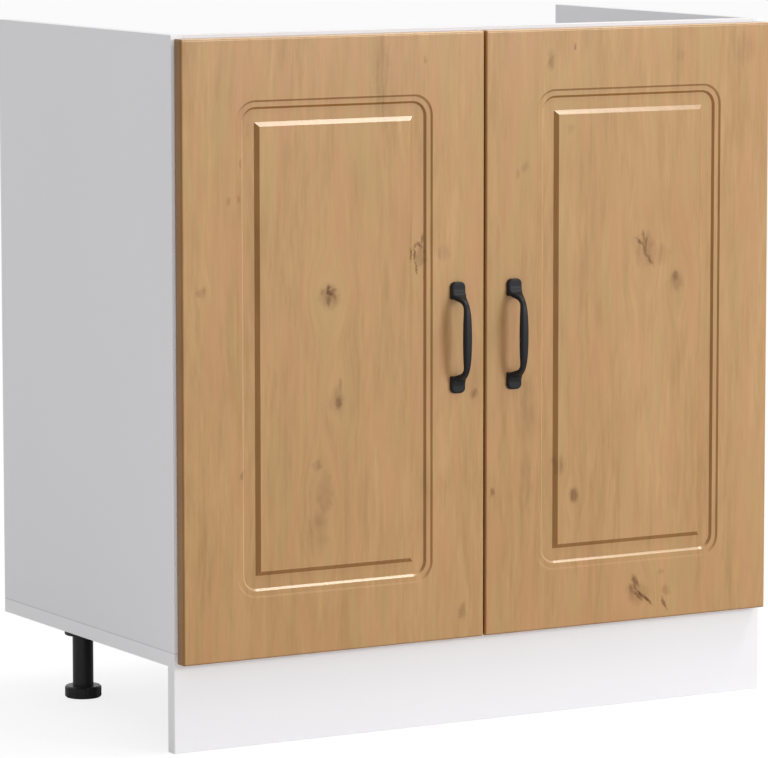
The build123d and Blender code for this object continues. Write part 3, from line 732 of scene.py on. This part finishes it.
def crossed_mesh(source, name, cross):
    """Copy of a fastener node's mesh, with a driver's cross in every head."""
    mesh = bmesh.new()
    mesh.from_mesh(source.data)
    bmesh.ops.remove_doubles(mesh, verts=mesh.verts, dist=WELD)
    for head in [Head(island) for island in islands(mesh)]:
        cut_cross(mesh, head, cross)
    bmesh.ops.recalc_face_normals(mesh, faces=mesh.faces)
    for face in mesh.faces:
        face.smooth = True
    for edge in mesh.edges:
        edge.smooth = edge.calc_face_angle(math.pi) < SHARP
    data = bpy.data.meshes.new(name)
    mesh.to_mesh(data)
    mesh.free()
    normals = data.attributes.get("custom_normal")
    if normals:
        data.attributes.remove(normals)
    data.materials.append(source.data.materials[0])
    return data


def cross_fasteners():
    """Stands a copy with crosses in place of each node of fasteners."""
    for node, cross in FASTENERS.items():
        source = frame["nodes"][node]
        name = f"{node}_crossed"
        piece = bpy.data.objects.new(name, crossed_mesh(source, name, cross))
        bpy.context.collection.objects.link(piece)
        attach(piece, source["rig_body"])
        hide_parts(node)


# Studio ----------------------------------------------------------------------------------

AMBIENT = 0.61
SEEN_WHITE = 1.0
BACKGROUND_RAYS = ("Is Camera Ray", "Is Glossy Ray", "Is Transmission Ray")
FLOOR_COLOR = grey(0.8)      # for the light that the floor throws back
FLOOR_SHADE = grey(0.28)     # for the light and shadow that the camera sees on it
FLOOR_GLOW = 0.79
FLOOR_SIZE = 60
LAMP_AIM = Vector((0.0, DOOR_FRONT, 0.45))


def showing_background(graph):
    """1 on the rays that show the background as it looks, 0 on those that only carry light."""
    path = graph.add("ShaderNodeLightPath").outputs
    shows = 0.0
    for ray in BACKGROUND_RAYS:
        shows = graph.add("ShaderNodeMath", {0: path[ray], 1: shows},
                          operation="MAXIMUM").outputs[0]
    return shows


def world_light():
    """Even pale ambient light, seen as plain white by the camera and in reflections."""
    world = bpy.data.worlds.new("studio")
    bpy.context.scene.world = world
    graph = Graph(world)
    graph.nodes.clear()
    strength = graph.add("ShaderNodeMapRange", {"Value": showing_background(graph),
                                                "To Min": AMBIENT, "To Max": SEEN_WHITE})
    background = graph.add("ShaderNodeBackground", {"Color": grey(1.0),
                                                    "Strength": strength.outputs["Result"]})
    graph.add("ShaderNodeOutputWorld", {"Surface": background.outputs[0]})


def floor_material():
    """Pale floor: white to the camera where it is lit, a little darker in shadow."""
    material = bpy.data.materials.new("floor")
    graph = Graph(material)
    graph.nodes.clear()
    path = graph.add("ShaderNodeLightPath").outputs
    plain = graph.add("ShaderNodeBsdfDiffuse", {"Color": FLOOR_COLOR})
    dim = graph.add("ShaderNodeBsdfDiffuse", {"Color": FLOOR_SHADE})
    glow = graph.add("ShaderNodeEmission", {"Strength": FLOOR_GLOW})
    seen = graph.add("ShaderNodeAddShader", {0: dim.outputs[0], 1: glow.outputs[0]})
    surface = graph.add("ShaderNodeMixShader", {0: path["Is Camera Ray"], 1: plain.outputs[0],
                                                2: seen.outputs[0]})
    graph.add("ShaderNodeOutputMaterial", {"Surface": surface.outputs[0]})
    return material


def floor():
    bpy.ops.mesh.primitive_plane_add(size=FLOOR_SIZE, location=(0, 0, 0))
    plane = bpy.context.object
    plane.name = "floor"
    plane.data.materials.append(floor_material())


def area_light(name, azimuth, elevation, distance, size, power):
    """Rectangular lamp. Its azimuth is from the doors' normal towards the right, in degrees."""
    aside, rise = math.radians(azimuth), math.radians(elevation)
    direction = Vector((math.sin(aside) * math.cos(rise), -math.cos(aside) * math.cos(rise),
                        math.sin(rise)))
    data = bpy.data.lights.new(name, "AREA")
    data.shape = "RECTANGLE"
    data.size, data.size_y = size
    data.energy = power
    lamp = bpy.data.objects.new(name, data)
    lamp.location = LAMP_AIM + direction * distance
    lamp.rotation_euler = direction.to_track_quat("Z", "Y").to_euler()
    bpy.context.collection.objects.link(lamp)


def lights():
    area_light("key", azimuth=30, elevation=13, distance=6.0, size=(1.7, 1.7), power=126)
    area_light("overhead", azimuth=64, elevation=58, distance=6.5, size=(2.2, 1.0), power=115)


def camera():
    data = bpy.data.cameras.new("camera")
    data.sensor_width = SENSOR_WIDTH
    data.lens = FOCAL_PIXELS / FRAME_WIDTH * SENSOR_WIDTH
    data.clip_end = CLIP_END
    eye = bpy.data.objects.new("camera", data)
    bpy.context.collection.objects.link(eye)
    yaw = Matrix.Rotation(-CAMERA_YAW, 4, "Z")
    pitch = Matrix.Rotation(math.pi / 2 - CAMERA_PITCH, 4, "X")
    roll = Matrix.Rotation(CAMERA_ROLL, 4, "Z")
    eye.matrix_world = Matrix.Translation(CAMERA_PLACE) @ yaw @ pitch @ roll
    bpy.context.scene.camera = eye


dress_frame()
cross_fasteners()
world_light()
floor()
lights()
camera()
bpy.context.scene.view_settings.view_transform = "Standard"
